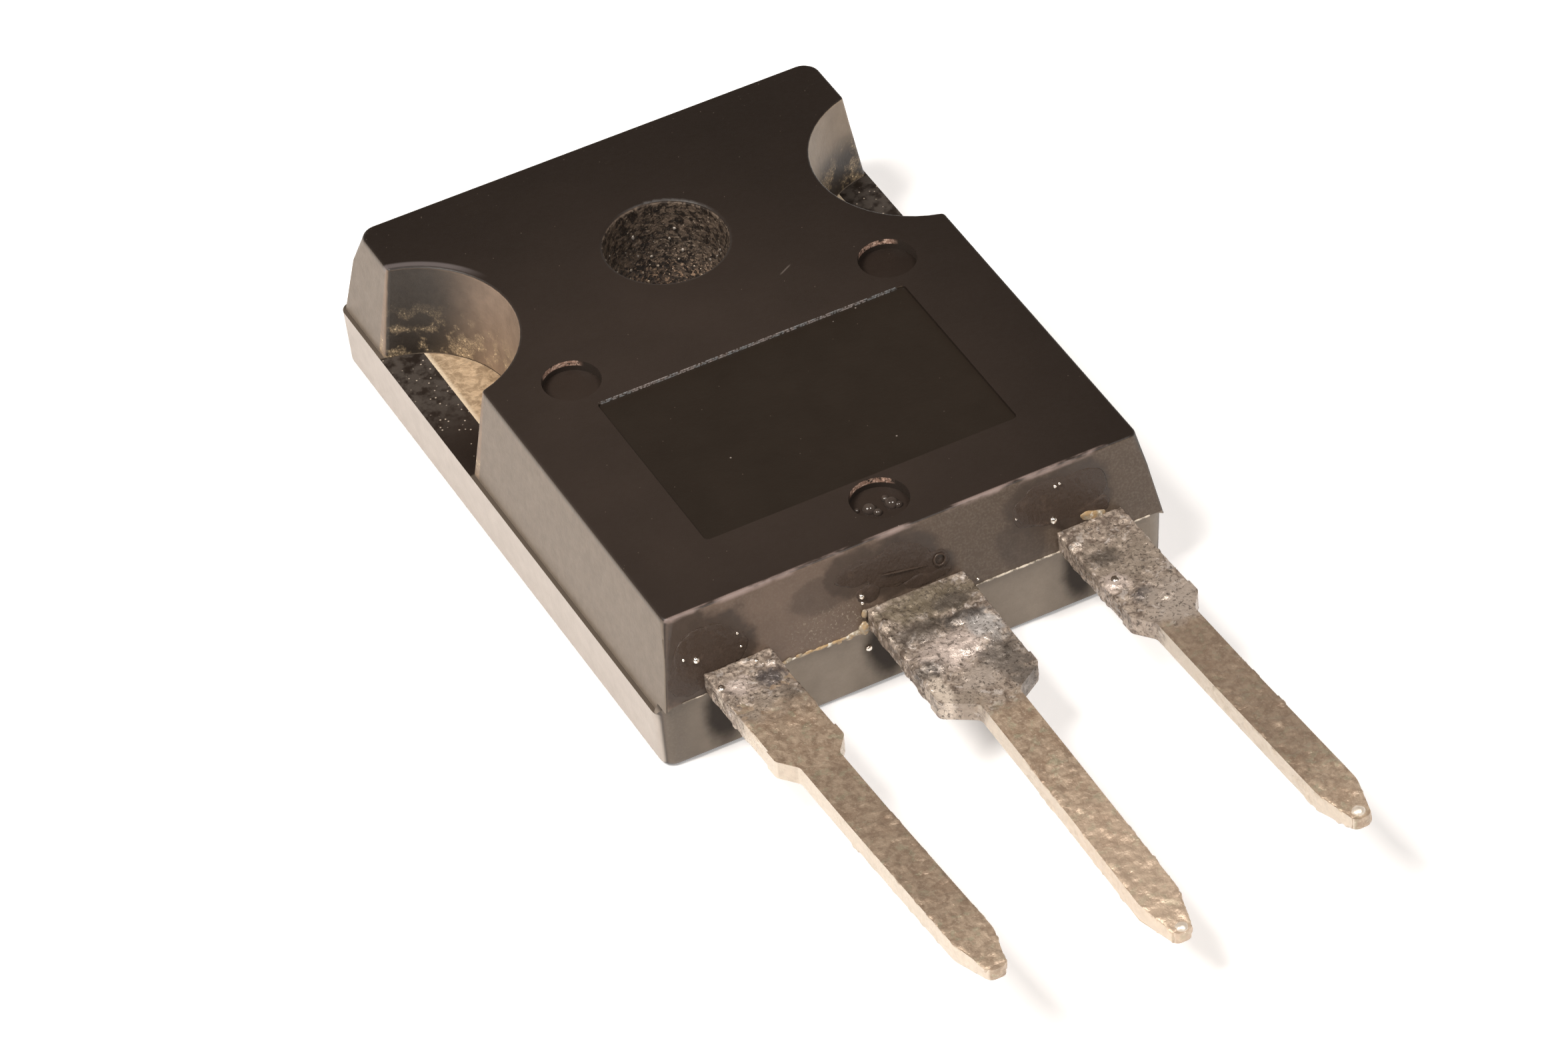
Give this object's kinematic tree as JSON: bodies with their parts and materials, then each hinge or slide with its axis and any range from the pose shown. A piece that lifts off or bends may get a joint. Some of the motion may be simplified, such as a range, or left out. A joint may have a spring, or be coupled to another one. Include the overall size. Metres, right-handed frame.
{
  "type": "igbt transistor",
  "caption": "Power transistor in a flat moulded package with bent leads at one end, side notches, a mounting hole and a bare metal back.",
  "frame": {"origin": "axis of the mounting hole, in the plane of the flat metal back", "axes": "+Z out of the marking face, along the mounting hole; +Y towards the end with the mounting hole, away from the leads; +X from the gate lead to the emitter lead"},
  "size_m": [0.0157, 0.0351, 0.005],
  "materials": {
    "moulded_plastic": "warm black moulded epoxy, matte, with scuffs and dried flux",
    "tinned_copper": "dull grey tin plate over copper, soldered once and cleaned off",
    "solder": "dull solder",
    "silicon": "polished silicon",
    "bond_wire": "bright drawn wire"
  },
  "bodies": {
    "root": {"moulded_body": "moulded_plastic", "collector_leadframe": "tinned_copper", "gate_lead": "tinned_copper", "emitter_lead": "tinned_copper", "igbt_die_solder": "solder", "diode_die_solder": "solder", "igbt_die": "silicon", "diode_die": "silicon", "gate_bond_wire": "bond_wire", "emitter_bond_wire_1": "bond_wire", "emitter_bond_wire_2": "bond_wire", "diode_bond_wire_1": "bond_wire", "diode_bond_wire_2": "bond_wire"}
  },
  "joints": []
}
